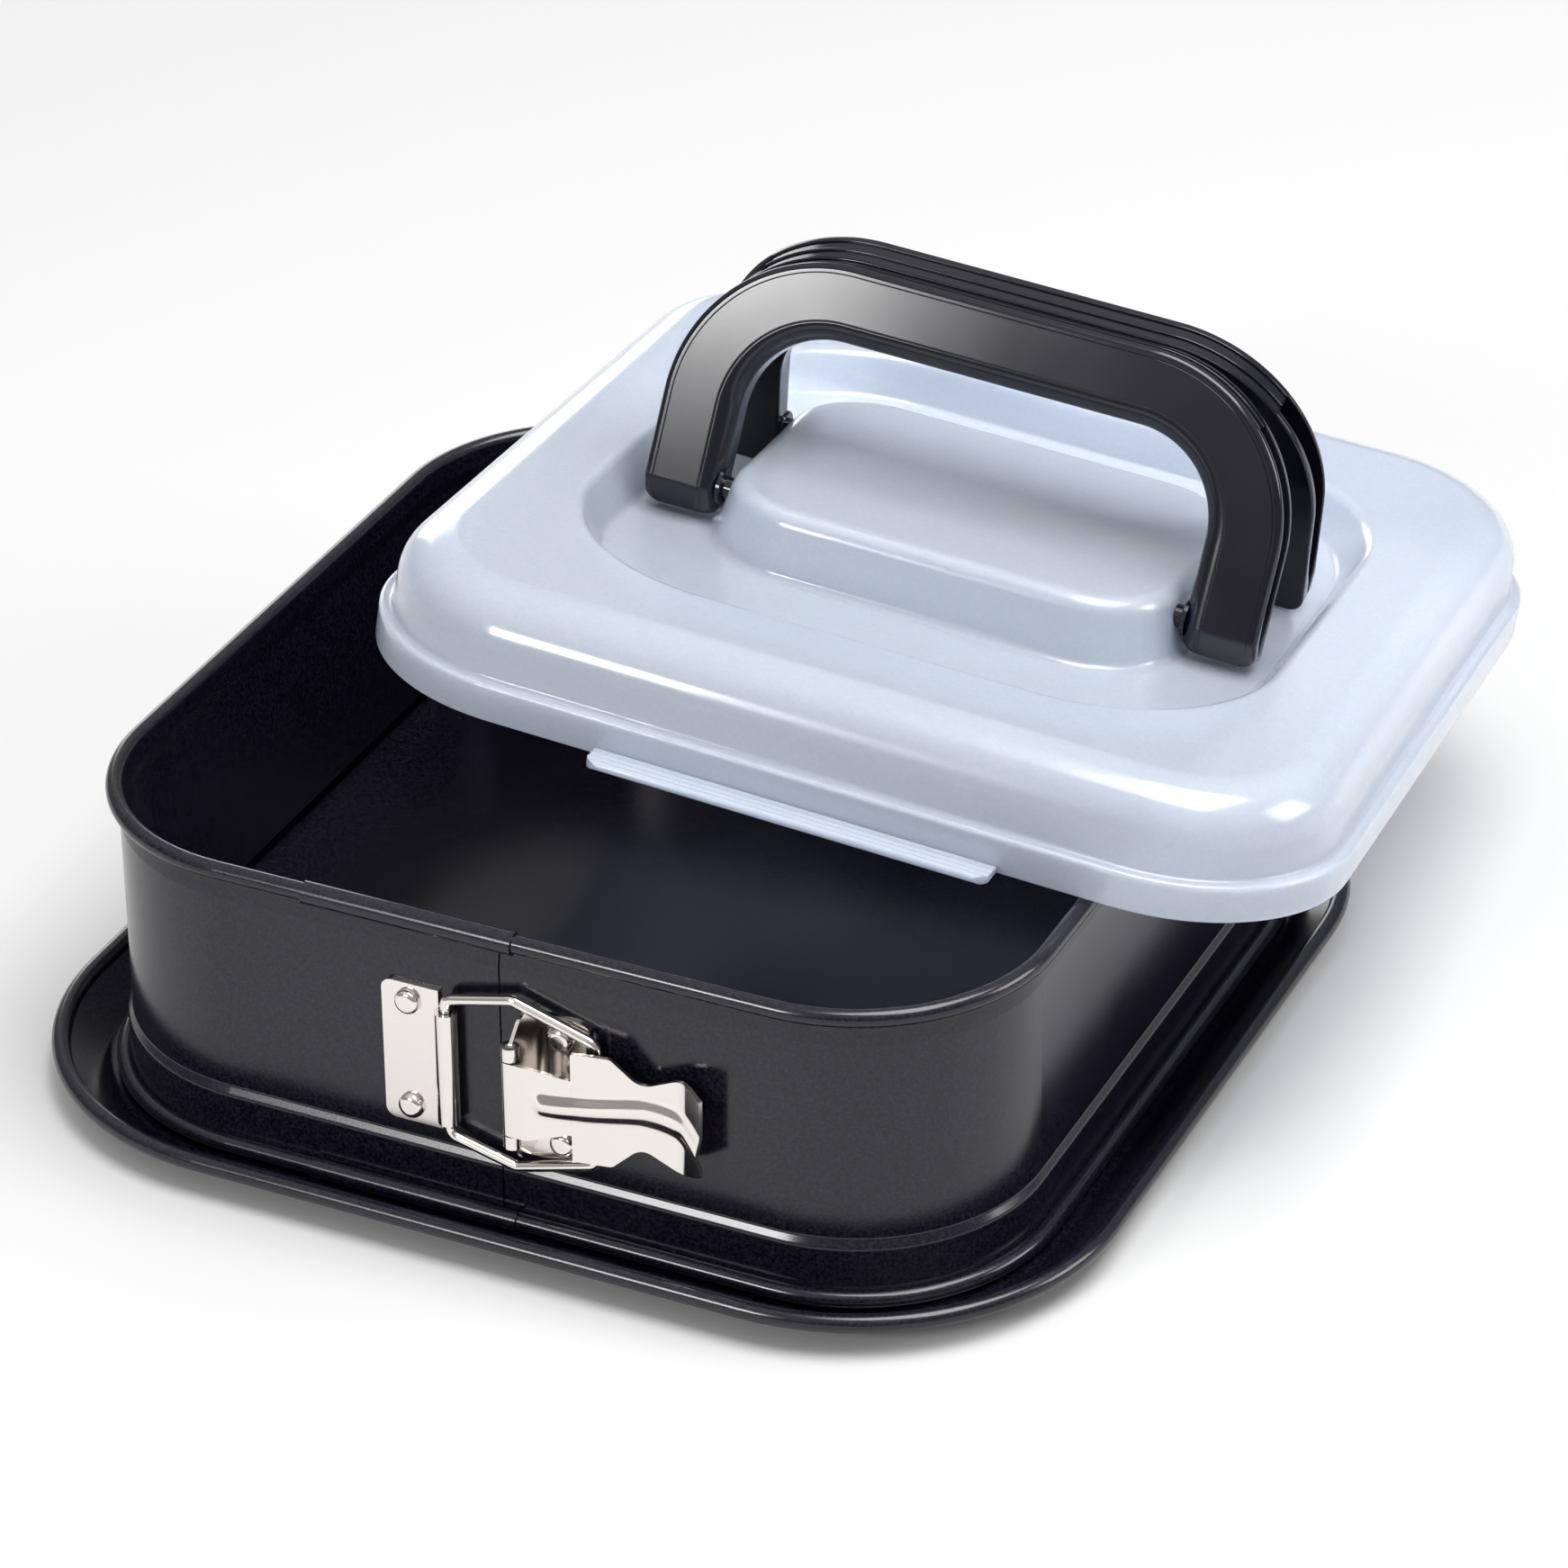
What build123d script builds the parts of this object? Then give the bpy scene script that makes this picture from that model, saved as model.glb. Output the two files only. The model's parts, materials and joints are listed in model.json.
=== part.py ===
from build123d import *
import os
from math import cos, radians, sin, tan

# Springform pan with a plastic cover, in millimetres. X runs along the front, which carries the
# clasp, Y points to the back and Z up. The origin is the centre of the base's underside. The cover
# is taken off: it leans on the rim of the pan, turned and shifted to the back right.

# Ring: one band of sheet steel on a rounded square, with its ends meeting at the front
ring_half = 109.0
ring_corner = 43.6
ring_sheet = 0.8
ring_top = 75.5
rim_bead_radius = 2.05
foot_bead_radius = 2.0
neck_height = 6.0
neck_flare = 0.6
neck_slope = 3.5
wall_end_height = 17.5
band_height = 15.5
band_step = 1.2
sheet_bend = 1.6
seam_x = 2.0
seam_gap = 0.4
wire_clearance = 0.1
wire_end_gap = 1.0

# Sleeves: the beads of the right end, opened out to slide over the beads of the left end
sleeve_overlap = 46.0
sleeve_sheet = 0.4
sleeve_clearance = 0.12
sleeve_root = 4.0
foot_sleeve_reach = 1.0

# Base: a raised floor inside the ring, a channel for the ring's foot and a drip flange
base_sheet = 1.0
base_bead_radius = 2.1
base_bead_out = 16.0
base_bead_height = 7.9
floor_clearance = 0.3
floor_lap = 3.0
foot_clearance = 0.3
channel_margin = 1.4
flange_bend = 3.0

# Clasp on the front wall, around a middle height of clasp_z
clasp_z = 39.4
clasp_sheet = 1.0
seat_gap = 0.05
hinge_clearance = 0.08
side_clearance = 0.3
rivet_head_radius = 3.0
rivet_head_height = 1.8
rivet_head_round = 1.5
rivet_tail_height = 0.5
rivet_shank_radius = 1.6
rivet_hole_clearance = 0.05

# Catch plate and bail
plate_left = -26.0
plate_height = 35.2
plate_corner = 2.5
catch_rivet_x = -19.6
catch_rivet_spacing = 26.6
knuckle_x = -9.8
knuckle_height = 28.0
knuckle_clearance = 0.25
bail_wire_radius = 1.25
bail_bend = 2.5
bail_leg = 17.1
bail_peak_x = 6.3
bail_peak = 21.2
bail_seat_x = 25.8
bail_seat = 15.3
bail_butt_gap = 0.2

# Bracket, hinge pin and lever
bracket_sheet = 0.8
bracket_right = 23.6
bracket_height = 36.6
bracket_rivet_x = 16.7
bracket_rivet_spacing = 26.8
flange_bow = 3.4
flange_bow_drop = 1.0
flange_bow_round = 2.5
pivot_x = 8.3
pivot_out = 8.0
pin_radius = 1.0
curl_radius = 2.0
ear_height = 3.2
lever_rise = 0.9
lever_strap_half = 9.2
lever_neck_half = 6.8
lever_body_half = 13.6
lever_waist_half = 8.3
lever_grip_half = 11.4
lever_end_half = 9.2
lever_body_x = 21.8
lever_shoulder_x = 30.2
lever_waist_x = 37.2
lever_grip_x = 46.5
lever_end_x = 52.0
lever_body_out = 6.4
lever_waist_out = 3.9
lever_grip_out = 3.7
lever_tip_out = 6.2
hook_sheet = 0.8
hook_height = 3.2
hook_set_in = 2.4

# Cover: a thin moulded shell with a moat in its top and an island that carries the handles
lid_wall = 1.3
lid_fit = 0.5
lid_corner_cut = 6.0
skirt_height = 8.6
lid_step = 2.4
lid_top = 27.3
lid_draft = 3.0
lid_shoulder = 12.0
moat_half_x = 76.0
moat_half_y = 72.8
moat_corner = 38.0
moat_floor = 17.5
moat_draft = 30.0
moat_edge = 3.0
island_half_x = 56.0
island_half_y = 41.0
island_corner = 23.0
island_top = 32.5
island_draft = 12.0
island_edge = 4.0
tab_half = 46.2
tab_out = 7.4
tab_thick = 2.0
tab_corner = 3.0
tab_ridges = 4
tab_ridge_radius = 0.5

# Handles: two mirrored bows hinged on the ends of the island, ribbed on top and slotted on the legs
handle_half = 73.5
handle_width = 17.7
handle_thick = 10.0
handle_reach = 56.9
handle_outer_bend = 38.2
handle_lean = 15.0
handle_pivot_y = 20.1
handle_pivot_height = 26.5
handle_foot = 7.3
handle_edge = 1.6
handle_foot_corner = 3.0
foot_slant_height = 6.0
foot_slant_depth = 4.5
slot_width = 6.0
slot_depth = 9.0
slot_foot = 4.0
groove_width = 3.0
groove_depth = 0.5
groove_pitch = 3.8
groove_set_back = 2.5
stud_radius = 2.6
stud_boss_radius = 4.2
stud_gap = 1.7
stud_head_radius = 3.3
stud_head_thick = 1.2

# Where the cover leans: its middle in plan and its turn about the vertical
lid_x = 35.3
lid_y = 60.7
lid_turn = 4.4
rest_gap = 0.3
lean_rounds = 8

# Worked out from the sizes above
wall_u = -rim_bead_radius + ring_sheet / 2 + neck_flare
band_u = wall_u + band_step
foot_u = band_u - ring_sheet / 2 + foot_bead_radius
sleeve_growth = sleeve_clearance + sleeve_sheet
foot_z = base_sheet + foot_clearance + sleeve_growth + foot_bead_radius
rim_z = ring_top - rim_bead_radius
wall_face = ring_half + wall_u + ring_sheet / 2
wall_back = wall_face - ring_sheet
plate_front = wall_face + seat_gap + clasp_sheet
bracket_front = wall_face + seat_gap + bracket_sheet
knuckle_inner = bail_wire_radius + knuckle_clearance
knuckle_outer = knuckle_inner + clasp_sheet
bail_out = plate_front + knuckle_inner
pivot_y = wall_face + pivot_out
lever_z = clasp_z + lever_rise
floor_top = band_height - floor_clearance
floor_side = band_u - ring_sheet / 2 - floor_clearance - base_sheet / 2
skirt_half = ring_half + rim_bead_radius + lid_fit + lid_wall
skirt_corner = ring_corner + rim_bead_radius + lid_fit + lid_wall - lid_corner_cut
handle_inner = handle_half - handle_width


def ring_path(start_x, stop_x, half, corner):
    """Run around the rounded square from start_x on the front side to stop_x on the front side."""
    straight = half - corner
    with BuildLine() as path:
        Line((start_x, -half), (straight, -half))
        CenterArc((straight, -straight), corner, -90, 90)
        Line((half, -straight), (half, straight))
        CenterArc((straight, straight), corner, 0, 90)
        Line((straight, half), (-straight, half))
        CenterArc((-straight, straight), corner, 90, 90)
        Line((-half, straight), (-half, -straight))
        CenterArc((-straight, -straight), corner, 180, 90)
        Line((-straight, -half), (stop_x, -half))
    return path.wires()[0]


def section_plane(x):
    """Plane across the front side at x: its X points outwards from the rim bead, its Y up."""
    return Plane(origin=(x, -ring_half, 0), x_dir=(0, -1, 0), z_dir=(-1, 0, 0))


def front_plane(out):
    """Plane along the front wall, out from the pan's middle, that looks to the front."""
    return Plane(origin=(0, -out, 0), x_dir=(1, 0, 0), z_dir=(0, -1, 0))


def level_plane(z):
    """Level plane at height z."""
    return Plane.XY.offset(z)


def sheet_section(points, bend, thickness):
    """Cross-section of bent sheet along its middle line."""
    with BuildSketch(mode=Mode.PRIVATE) as section:
        with BuildLine():
            FilletPolyline(*points, radius=bend)
            offset(amount=thickness / 2, side=Side.BOTH)
        make_face()
    return section.sketch


def sleeve_section(bead, inner_radius):
    """Cross-section of the sheet that goes round a bead, left open where the wall joins it.

    The bead is its middle, its radius, the side on which the wall joins it and how far the sleeve
    reaches inwards.
    """
    bead_u, bead_z, bead_radius, wall_side, inner_reach = bead
    outer_radius = bead_radius + sleeve_growth
    with BuildSketch(mode=Mode.PRIVATE) as section:
        with Locations((bead_u, bead_z)):
            Circle(outer_radius)
            Circle(inner_radius, mode=Mode.SUBTRACT)
        with Locations((bead_u - outer_radius, bead_z + wall_side * outer_radius)):
            Rectangle(2 * outer_radius, 2 * outer_radius, mode=Mode.SUBTRACT)
        with Locations((bead_u - inner_reach - outer_radius, bead_z)):
            Rectangle(2 * outer_radius, 4 * outer_radius, mode=Mode.SUBTRACT)
    return section.sketch


def rivet_places(x, spacing):
    """Places of two rivets on the front wall, one above the other."""
    return [(x, clasp_z - spacing / 2), (x, clasp_z + spacing / 2)]


def rivets(x, spacing, head_seat):
    """Two rivets through the front wall, with domed heads outside that sit on head_seat."""
    tail_face = wall_back - seat_gap
    with BuildPart() as pair:
        for place in rivet_places(x, spacing):
            with BuildSketch(front_plane(tail_face - rivet_tail_height)):
                with Locations(place):
                    Circle(rivet_head_radius)
            extrude(amount=rivet_tail_height)
            with BuildSketch(front_plane(tail_face)):
                with Locations(place):
                    Circle(rivet_shank_radius)
            extrude(amount=head_seat + seat_gap - tail_face)
            with BuildSketch(front_plane(head_seat + seat_gap)):
                with Locations(place):
                    Circle(rivet_head_radius)
            extrude(amount=rivet_head_height)
            dome = pair.faces().sort_by(Axis.Y)[0]
            fillet(dome.edges(), rivet_head_round)
    return pair.part


os.makedirs("parts", exist_ok=True)

# Ring band
ring_start = seam_x + seam_gap / 2
ring_stop = seam_x - seam_gap / 2
rim_bead = (0, rim_z, rim_bead_radius, -1, rim_bead_radius + sleeve_growth)
foot_bead = (foot_u, foot_z, foot_bead_radius, 1, foot_sleeve_reach)
with BuildPart() as ring_band:
    with BuildSketch(section_plane(ring_start)):
        add(sheet_section(
            [
                (-rim_bead_radius + ring_sheet / 2, rim_z),
                (-rim_bead_radius + ring_sheet / 2, ring_top - neck_height),
                (wall_u, ring_top - neck_height - neck_slope),
                (wall_u, wall_end_height),
                (band_u, band_height),
                (band_u, foot_z),
            ],
            sheet_bend,
            ring_sheet,
        ))
        for bead_u, bead_z, bead_radius, _, _ in (rim_bead, foot_bead):
            with Locations((bead_u, bead_z)):
                Circle(bead_radius)
                Circle(bead_radius - ring_sheet, mode=Mode.SUBTRACT)
    sweep(path=ring_path(ring_start, ring_stop, ring_half, ring_corner))
    for bead in (rim_bead, foot_bead):
        bead_radius = bead[2]
        with BuildSketch(section_plane(ring_start)):
            add(sleeve_section(bead, bead_radius + sleeve_clearance))
        extrude(amount=sleeve_overlap)
        with BuildSketch(section_plane(ring_start)):
            add(sleeve_section(bead, bead_radius - ring_sheet / 2))
        extrude(amount=-sleeve_root)
    with BuildSketch(front_plane(wall_back - seat_gap)):
        with Locations(
            *rivet_places(catch_rivet_x, catch_rivet_spacing),
            *rivet_places(bracket_rivet_x, bracket_rivet_spacing),
        ):
            Circle(rivet_shank_radius + rivet_hole_clearance)
    extrude(amount=ring_sheet + 2 * seat_gap, mode=Mode.SUBTRACT)
ring_band.part.label = "ring_band"
export_step(ring_band.part, "parts/ring_band.step")

# Wires rolled into the ring's beads
wire_start = ring_start + wire_end_gap
wire_stop = ring_stop - wire_end_gap
for name, (bead_u, bead_z, bead_radius, _, _) in (("rim_wire", rim_bead), ("foot_wire", foot_bead)):
    with BuildPart() as wire:
        with BuildSketch(section_plane(wire_start)):
            with Locations((bead_u, bead_z)):
                Circle(bead_radius - ring_sheet - wire_clearance)
        sweep(path=ring_path(wire_start, wire_stop, ring_half, ring_corner))
    wire.part.label = name
    export_step(wire.part, f"parts/{name}.step")

# Base tray: the side sections run all the way round, then the floor fills the middle
channel_end = foot_u + foot_bead_radius + channel_margin
flange_end = base_bead_out - base_bead_radius + base_sheet / 2
floor_start = floor_side - floor_lap
with BuildPart() as base_tray:
    with BuildSketch(section_plane(0)):
        add(sheet_section(
            [
                (floor_start, floor_top - base_sheet / 2),
                (floor_side, floor_top - base_sheet / 2),
                (floor_side, base_sheet / 2),
                (channel_end, base_sheet / 2),
                (flange_end, base_bead_height - base_sheet),
                (flange_end, base_bead_height),
            ],
            [sheet_bend, sheet_bend, flange_bend, base_sheet],
            base_sheet,
        ))
        with Locations((base_bead_out, base_bead_height)):
            Circle(base_bead_radius)
            Circle(base_bead_radius - base_sheet, mode=Mode.SUBTRACT)
    sweep(path=ring_path(0, 0, ring_half, ring_corner))
    with BuildSketch(level_plane(floor_top - base_sheet)):
        floor_out = floor_start + floor_lap / 3
        floor_edge = 2 * (ring_half + floor_out)
        RectangleRounded(floor_edge, floor_edge, ring_corner + floor_out)
    extrude(amount=base_sheet)
base_tray.part.label = "base_tray"
export_step(base_tray.part, "parts/base_tray.step")

with BuildPart() as base_wire:
    with BuildSketch(section_plane(0)):
        with Locations((base_bead_out, base_bead_height)):
            Circle(base_bead_radius - base_sheet - wire_clearance)
    sweep(path=ring_path(0, 0, ring_half, ring_corner))
base_wire.part.label = "base_wire"
export_step(base_wire.part, "parts/base_wire.step")

# Catch plate, rolled round the bail's leg at its free edge
with BuildPart() as catch_plate:
    with BuildSketch(front_plane(plate_front - clasp_sheet)):
        with Locations(((plate_left + knuckle_x) / 2, clasp_z)):
            Rectangle(knuckle_x - plate_left, plate_height)
    extrude(amount=clasp_sheet)
    fillet(catch_plate.edges().filter_by(Axis.Y).group_by(Axis.X)[0], plate_corner)
    with BuildSketch(level_plane(clasp_z)):
        with Locations((knuckle_x, -bail_out)):
            Circle(knuckle_outer)
    extrude(amount=knuckle_height / 2, both=True)
    with BuildSketch(level_plane(clasp_z)):
        with Locations((knuckle_x, -bail_out)):
            Circle(knuckle_inner)
    extrude(amount=plate_height / 2, both=True, mode=Mode.SUBTRACT)
    notch_height = (plate_height - knuckle_height) / 2
    with BuildSketch(front_plane(wall_face)):
        for side in (-1, 1):
            with Locations((knuckle_x, clasp_z + side * (knuckle_height + notch_height) / 2)):
                Rectangle(2 * knuckle_outer, notch_height)
        with Locations(*rivet_places(catch_rivet_x, catch_rivet_spacing)):
            Circle(rivet_shank_radius + rivet_hole_clearance)
    extrude(amount=2 * clasp_sheet, mode=Mode.SUBTRACT)
catch_plate.part.label = "catch_plate"
export_step(catch_plate.part, "parts/catch_plate.step")

catch_rivets = rivets(catch_rivet_x, catch_rivet_spacing, plate_front)
catch_rivets.label = "catch_rivets"
export_step(catch_rivets, "parts/catch_rivets.step")

# Bail: a six-sided loop of wire whose left leg turns in the catch plate
with BuildPart() as bail_wire:
    with BuildLine(front_plane(bail_out)) as loop:
        FilletPolyline(
            (knuckle_x, clasp_z + bail_butt_gap / 2),
            (knuckle_x, clasp_z + bail_leg),
            (bail_peak_x, clasp_z + bail_peak),
            (bail_seat_x, clasp_z + bail_seat),
            (bail_seat_x, clasp_z - bail_seat),
            (bail_peak_x, clasp_z - bail_peak),
            (knuckle_x, clasp_z - bail_leg),
            (knuckle_x, clasp_z - bail_butt_gap / 2),
            radius=bail_bend,
        )
    with BuildSketch(level_plane(clasp_z + bail_butt_gap / 2)):
        with Locations((knuckle_x, -bail_out)):
            Circle(bail_wire_radius)
    sweep(path=loop.wires()[0])
bail_wire.part.label = "bail_wire"
export_step(bail_wire.part, "parts/bail_wire.step")

# Bracket for the lever: a riveted plate with a flange that stands out to the hinge pin
ear_start = lever_strap_half + side_clearance
ear_end = ear_start + ear_height
bracket_left = pivot_x - bracket_sheet / 2
with BuildPart() as lever_bracket:
    with BuildSketch(front_plane(bracket_front - bracket_sheet)):
        with Locations(((bracket_left + bracket_right) / 2, clasp_z)):
            Rectangle(bracket_right - bracket_left, bracket_height)
        with Locations(*rivet_places(bracket_rivet_x, bracket_rivet_spacing)):
            Circle(rivet_shank_radius + rivet_hole_clearance, mode=Mode.SUBTRACT)
    extrude(amount=bracket_sheet)
    fillet(lever_bracket.edges().filter_by(Axis.Y).group_by(Axis.X)[-1], plate_corner)
    with BuildSketch(Plane(origin=(bracket_left, 0, 0), x_dir=(0, -1, 0), z_dir=(-1, 0, 0))):
        with BuildLine():
            flange_edge = FilletPolyline(
                (bracket_front, clasp_z - bracket_height / 2),
                (bracket_front + flange_bow, clasp_z - bracket_height / 2 + flange_bow_drop),
                (pivot_y, lever_z - ear_end),
                (pivot_y, lever_z + ear_end),
                (bracket_front + flange_bow, clasp_z + bracket_height / 2 - flange_bow_drop),
                (bracket_front, clasp_z + bracket_height / 2),
                radius=[flange_bow_round, bracket_sheet, bracket_sheet, flange_bow_round],
            )
            Line(flange_edge @ 0, flange_edge @ 1)
        make_face()
        with Locations((pivot_y, lever_z)):
            Rectangle(2 * (curl_radius + side_clearance), 2 * ear_start, mode=Mode.SUBTRACT)
    extrude(amount=-bracket_sheet)
    for side in (-1, 1):
        with BuildSketch(level_plane(lever_z + side * (ear_start + ear_end) / 2)):
            with Locations((pivot_x, -pivot_y)):
                Circle(curl_radius)
        extrude(amount=ear_height / 2, both=True)
    with BuildSketch(level_plane(lever_z)):
        with Locations((pivot_x, -pivot_y)):
            Circle(pin_radius + rivet_hole_clearance)
    extrude(amount=ear_end, both=True, mode=Mode.SUBTRACT)
lever_bracket.part.label = "lever_bracket"
export_step(lever_bracket.part, "parts/lever_bracket.step")

bracket_rivets = rivets(bracket_rivet_x, bracket_rivet_spacing, bracket_front)
bracket_rivets.label = "bracket_rivets"
export_step(bracket_rivets, "parts/bracket_rivets.step")

with BuildPart() as lever_pin:
    with BuildSketch(level_plane(lever_z)):
        with Locations((pivot_x, -pivot_y)):
            Circle(pin_radius)
    extrude(amount=ear_end, both=True)
lever_pin.part.label = "lever_pin"
export_step(lever_pin.part, "parts/lever_pin.step")

# Lever: one sheet curled round the pin, cut to its outline, with hooks behind its shoulders
curl_out = pivot_y + curl_radius - clasp_sheet / 2
curl_end_x = pivot_x + 2 * curl_radius
lever_body_y = wall_face + lever_body_out
with BuildPart() as clasp_lever:
    with BuildSketch(Plane(origin=(0, 0, lever_z), x_dir=(1, 0, 0), z_dir=(0, 0, -1))):
        add(sheet_section(
            [
                (pivot_x, curl_out),
                (curl_end_x, curl_out),
                (lever_body_x + hook_sheet, lever_body_y),
                (lever_waist_x, wall_face + lever_waist_out),
                (lever_grip_x, wall_face + lever_grip_out),
                (lever_end_x, wall_face + lever_tip_out),
            ],
            sheet_bend,
            clasp_sheet,
        ))
        with Locations((pivot_x, pivot_y)):
            Circle(curl_radius)
            Circle(pin_radius + hinge_clearance, mode=Mode.SUBTRACT)
    extrude(amount=lever_body_half, both=True)
    with BuildSketch(front_plane(wall_face)):
        with BuildLine():
            upper = [
                (pivot_x - 2 * curl_radius, lever_z + lever_strap_half),
                (curl_end_x, lever_z + lever_strap_half),
                (lever_body_x, lever_z + lever_neck_half),
                (lever_body_x, lever_z + lever_body_half),
                (lever_shoulder_x, lever_z + lever_body_half),
                (lever_waist_x, lever_z + lever_waist_half),
                (lever_grip_x, lever_z + lever_grip_half),
                (lever_end_x + clasp_sheet, lever_z + lever_end_half),
            ]
            lower = [(x, 2 * lever_z - z) for x, z in reversed(upper)]
            Polyline(*upper, *lower, close=True)
        make_face()
    extrude(amount=2 * pivot_out, mode=Mode.INTERSECT)
    for side in (-1, 1):
        hook_middle = lever_body_half - hook_set_in - hook_height / 2
        with BuildSketch(level_plane(lever_z + side * hook_middle)):
            with Locations((lever_body_x + hook_sheet / 2, -(bail_out + lever_body_y) / 2)):
                Rectangle(hook_sheet, lever_body_y - bail_out)
        extrude(amount=hook_height / 2, both=True)
clasp_lever.part.label = "clasp_lever"
export_step(clasp_lever.part, "parts/clasp_lever.step")


def leaning_plane():
    """Plane of the cover's lower edge as it leans on the rim of the pan.

    The left edge of the skirt lies on the back rim, its front edge lies on the right rim, and the
    floor of the moat lies on the rim's back right corner.
    """
    turn = radians(lid_turn)
    edge = skirt_half - lid_wall / 2
    rest_z = ring_top + rest_gap
    along_left = (ring_half - lid_y + edge * sin(turn)) / cos(turn)
    left_contact = Vector(lid_x - edge * cos(turn) - along_left * sin(turn), ring_half, rest_z)
    along_front = (ring_half - lid_x - edge * sin(turn)) / cos(turn)
    front_contact = Vector(ring_half, lid_y + along_front * sin(turn) - edge * cos(turn), rest_z)
    corner_reach = ring_half - ring_corner * (1 - cos(radians(45)))
    corner_contact = Vector(corner_reach, corner_reach, rest_z)
    normal = Vector(0, 0, 1)
    for _ in range(lean_rounds):
        lowered = corner_contact - normal * (moat_floor - lid_wall)
        normal = (front_contact - left_contact).cross(lowered - left_contact).normalized()
    rise = normal.dot(left_contact - Vector(lid_x, lid_y, 0)) / normal.Z
    along = Vector(cos(turn), sin(turn), 0)
    along = along - normal * normal.dot(along)
    return Plane(origin=(lid_x, lid_y, rise), x_dir=along, z_dir=normal)


def lid_form(inset):
    """Outer form of the cover, upright in its own frame, or the form one wall inside it."""
    with BuildPart(mode=Mode.PRIVATE) as form:
        with BuildSketch(level_plane(-inset)):
            body = 2 * (skirt_half - lid_step - inset)
            RectangleRounded(body, body, skirt_corner - lid_step - inset)
        extrude(amount=lid_top, taper=lid_draft)
        fillet(form.faces().sort_by(Axis.Z)[-1].edges(), lid_shoulder - inset)
        moat_grow = inset * (1 - sin(radians(moat_draft))) / cos(radians(moat_draft))
        with BuildSketch(level_plane(moat_floor - inset)):
            RectangleRounded(
                2 * (moat_half_x + moat_grow),
                2 * (moat_half_y + moat_grow),
                moat_corner + moat_grow,
            )
        extrude(amount=lid_top - moat_floor + inset, taper=-moat_draft, mode=Mode.SUBTRACT)
        moat_mouth = form.faces().sort_by(Axis.Z)[-1].inner_wires()[0].edges()
        fillet(moat_mouth, moat_edge + inset)
        island_grow = -inset * (1 - sin(radians(island_draft))) / cos(radians(island_draft))
        with BuildSketch(level_plane(moat_floor - inset)):
            RectangleRounded(
                2 * (island_half_x + island_grow),
                2 * (island_half_y + island_grow),
                island_corner + island_grow,
            )
        extrude(amount=island_top - moat_floor, taper=island_draft)
        fillet(form.faces().sort_by(Axis.Z)[-1].edges(), island_edge - inset)
        with BuildSketch(level_plane(-inset)):
            skirt = 2 * (skirt_half - inset)
            RectangleRounded(skirt, skirt, skirt_corner - inset)
        extrude(amount=skirt_height)
    return form.part


# Cover shell: the outer form less the inner one, with the grip tab on its front edge
lean = leaning_plane()
with BuildPart() as lid_shell:
    add(lid_form(0))
    add(lid_form(lid_wall), mode=Mode.SUBTRACT)
    tab_root = skirt_half - lid_wall / 2
    with BuildSketch():
        with Locations((0, -(tab_root + skirt_half + tab_out) / 2)):
            tab = Rectangle(2 * tab_half, tab_out + skirt_half - tab_root)
        fillet(tab.vertices().group_by(Axis.Y)[0], tab_corner)
    extrude(amount=tab_thick)
    ridge_pitch = (tab_out - tab_corner) / tab_ridges
    with BuildSketch(Plane.YZ):
        for number in range(tab_ridges):
            with Locations((-skirt_half - ridge_pitch * (number + 1), tab_thick)):
                Circle(tab_ridge_radius)
    extrude(amount=tab_half - tab_corner, both=True)
    with BuildSketch(Plane.YZ):
        with Locations((-handle_pivot_y, handle_pivot_height), (handle_pivot_y, handle_pivot_height)):
            Circle(stud_radius + hinge_clearance)
    extrude(amount=island_half_x, both=True, mode=Mode.SUBTRACT)
leaning_cover = lid_shell.part.moved(lean.location)
leaning_cover.label = "lid_shell"
export_step(leaning_cover, "parts/lid_shell.step")


def arch(inset):
    """Filled arch of the handle's outline, drawn with the pivot line as its X axis."""
    half = handle_half - inset
    with BuildSketch(mode=Mode.PRIVATE) as outline:
        with BuildLine():
            bow = FilletPolyline(
                (-half, -handle_foot),
                (-half, handle_reach - inset),
                (half, handle_reach - inset),
                (half, -handle_foot),
                radius=handle_outer_bend - inset,
            )
            Line(bow @ 0, bow @ 1)
        make_face()
    return outline.sketch


def grip_area():
    """Area over the handle's top, between the middles of its two bends."""
    bend_x = handle_half - handle_outer_bend
    bend_y = handle_reach - handle_outer_bend
    with BuildSketch(mode=Mode.PRIVATE) as area:
        with BuildLine():
            Polyline(
                (bend_x, bend_y),
                (bend_x + handle_half, bend_y + handle_half),
                (-bend_x - handle_half, bend_y + handle_half),
                (-bend_x, bend_y),
                close=True,
            )
        make_face()
    return area.sketch


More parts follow.
